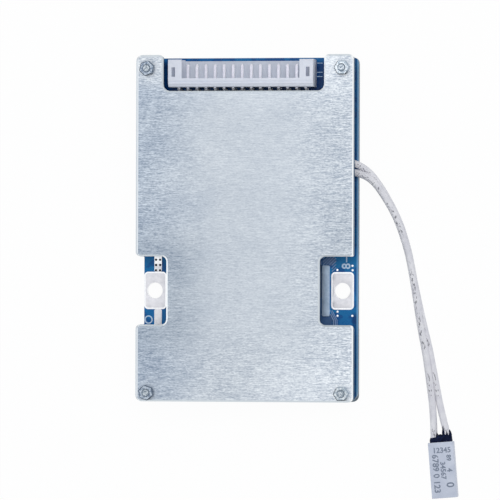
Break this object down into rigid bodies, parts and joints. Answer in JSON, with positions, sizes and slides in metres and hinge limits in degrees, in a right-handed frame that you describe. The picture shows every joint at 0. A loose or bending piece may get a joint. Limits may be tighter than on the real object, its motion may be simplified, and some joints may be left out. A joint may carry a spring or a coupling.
{
  "type": "battery management board",
  "caption": "Circuit board between two brushed heat plates, with a right-angle header, two terminal pads in side bays and a thermal switch on two leads.",
  "frame": {"origin": "middle of the back plate's underside, with the thermal switch and its leads left out", "axes": "+X across the board to the leads' side, +Y along the board to the header's end, +Z out of the front plate"},
  "size_m": [0.0873, 0.12, 0.0134],
  "materials": {
    "brushed_plate": "brushed, satin",
    "back_plate": "brushed, satin",
    "board": "blue solder mask, satin gloss",
    "tinned_copper": "tinned, matt",
    "tinned_bar": "tinned, satin",
    "white_nylon": "moulded, satin",
    "pin_tin": "tin plated",
    "solder": "solder",
    "black_moulding": "moulded, matt",
    "thermal_pad": "soft silicone",
    "brass": "machined",
    "nylon_washer": "moulded",
    "screw_steel": "zinc plated",
    "nut_steel": "nickel plated",
    "shunt_alloy": "coated alloy",
    "chip_ceramic": "sintered",
    "lead_sleeve": "extruded sleeve, satin",
    "switch_shell": "pale grey coat, satin",
    "black_resin": "cast resin"
  },
  "bodies": {
    "root": {"front_plate": "brushed_plate", "back_plate": "back_plate", "circuit_board": "board", "terminal_pad_right": "tinned_copper", "terminal_pad_left": "tinned_copper", "bus_strip": "tinned_bar", "link_strips": "tinned_bar", "header_housing": "white_nylon", "header_pins": "pin_tin", "header_joints": "solder", "mosfet_bodies": "black_moulding", "mosfet_tabs": "tinned_copper", "mosfet_leads": "pin_tin", "front_thermal_pad": "thermal_pad", "back_thermal_pad": "thermal_pad", "plate_spacers": "brass", "board_washers": "nylon_washer", "plate_screws": "screw_steel", "plate_nuts": "nut_steel", "shunt_resistors": "shunt_alloy", "protection_chip": "black_moulding", "protection_chip_leads": "pin_tin", "driver_chip": "black_moulding", "driver_chip_leads": "pin_tin", "balance_resistors": "shunt_alloy", "balance_transistors": "black_moulding", "filter_capacitors": "chip_ceramic", "regulator": "black_moulding", "input_diodes": "black_moulding", "lead_joints": "solder", "lead_left": "lead_sleeve", "lead_right": "lead_sleeve", "switch_case": "switch_shell", "switch_seal": "black_resin"}
  },
  "joints": []
}
